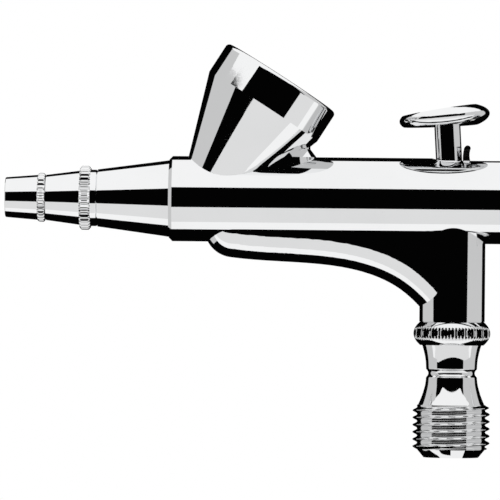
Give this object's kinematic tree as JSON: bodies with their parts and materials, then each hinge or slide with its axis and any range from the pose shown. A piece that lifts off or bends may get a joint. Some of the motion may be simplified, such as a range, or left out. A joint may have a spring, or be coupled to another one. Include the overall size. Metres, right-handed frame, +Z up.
{
  "type": "airbrush gun",
  "caption": "Double-action gravity-feed airbrush: chromed barrel with side-leaning paint cup, finger trigger, cutaway handle and threaded air valve below.",
  "frame": {"origin": "centre of the hose thread's lower end face, on the air valve's axis", "axes": "+X along the needle from spray tip to handle, +Z up from the hose thread to the trigger, +Y across the gun"},
  "size_m": [0.1495, 0.0162, 0.0518],
  "materials": {
    "chrome_body": "mirror chrome plate over brass",
    "chrome_cup": "mirror chrome plate, spun and polished",
    "chrome_nose": "mirror chrome plate, turned",
    "chrome_handle": "mirror chrome plate, turned",
    "chrome_trigger": "mirror chrome plate",
    "chrome_valve": "mirror chrome plate, turned and threaded",
    "chrome_nut": "mirror chrome plate, knurled",
    "chrome_adjuster": "chrome plate, knurled",
    "lever_steel": "satin stamped steel",
    "brass": "turned brass, lightly aged",
    "ptfe": "waxy white fluoropolymer",
    "black_rubber": "smooth nitrile rubber",
    "needle_steel": "ground and polished stainless steel",
    "nickel_brass": "nickel plated brass, turned",
    "nozzle_alloy": "turned nickel alloy",
    "spring_steel": "drawn spring wire"
  },
  "bodies": {
    "gun_body": {"body_barrel": "chrome_body", "air_passage_brace": "chrome_body", "valve_casing": "chrome_body", "paint_cup": "chrome_cup", "head_base": "chrome_nose", "head_gasket": "ptfe", "fluid_nozzle": "nozzle_alloy", "nozzle_cap": "chrome_nose", "needle_cap": "chrome_nose", "needle_packing": "ptfe", "needle_packing_screw": "brass", "piston_packing": "ptfe", "piston_packing_screw": "brass", "air_valve_body": "chrome_valve", "valve_spring": "spring_steel", "valve_spring_screw": "brass", "lever_pin": "lever_steel", "needle_spring": "spring_steel", "handle": "chrome_handle"},
    "piston": {"air_valve_piston": "brass"},
    "trigger": {"trigger": "chrome_trigger"},
    "plunger": {"valve_plunger": "brass", "valve_o_ring": "black_rubber"},
    "lever": {"auxiliary_lever": "lever_steel"},
    "needle_group": {"needle": "needle_steel", "needle_chucking_guide": "nickel_brass"},
    "chuck": {"chucking_nut": "chrome_nut"},
    "adjuster": {"spring_case": "chrome_adjuster"}
  },
  "joints": [
    {"name": "trigger_press", "type": "slide", "parent": "gun_body", "child": "piston", "axis": [0, 0, -1], "range_m": [0, 0.0011], "stiffness_N_per_m": 900, "springref_m": -0.002},
    {"name": "trigger_pull", "type": "hinge", "parent": "piston", "child": "trigger", "pos_m": [0, 0, 0.0278], "axis": [0, 1, 0], "range_deg": [0, 18]},
    {"name": "valve_lift", "type": "slide", "parent": "gun_body", "child": "plunger", "axis": [0, 0, -1], "range_m": [0, 0.0011], "deforming": ["valve_spring"]},
    {"name": "lever_swing", "type": "hinge", "parent": "gun_body", "child": "lever", "pos_m": [0.0044, 0, 0.0302], "axis": [0, 1, 0], "range_deg": [0, 27.2]},
    {"name": "needle_draw", "type": "slide", "parent": "gun_body", "child": "needle_group", "axis": [1, 0, 0], "range_m": [0, 0.00158], "stiffness_N_per_m": 250, "springref_m": -0.004, "deforming": ["needle_spring"]},
    {"name": "chuck_turn", "type": "hinge", "parent": "needle_group", "child": "chuck", "pos_m": [0.0385, 0, 0.0323], "axis": [1, 0, 0], "range_deg": [-360, 0]},
    {"name": "tension_turn", "type": "hinge", "parent": "gun_body", "child": "adjuster", "pos_m": [0.028, 0, 0.0323], "axis": [1, 0, 0], "range_deg": [-180, 180]}
  ],
  "couplings": [
    {"joint": "valve_lift", "follows": "trigger_press", "ratio": 1},
    {"joint": "trigger_pull", "follows": "needle_draw", "rad_per_m": 198},
    {"joint": "lever_swing", "follows": "needle_draw", "rad_per_m": 297}
  ]
}
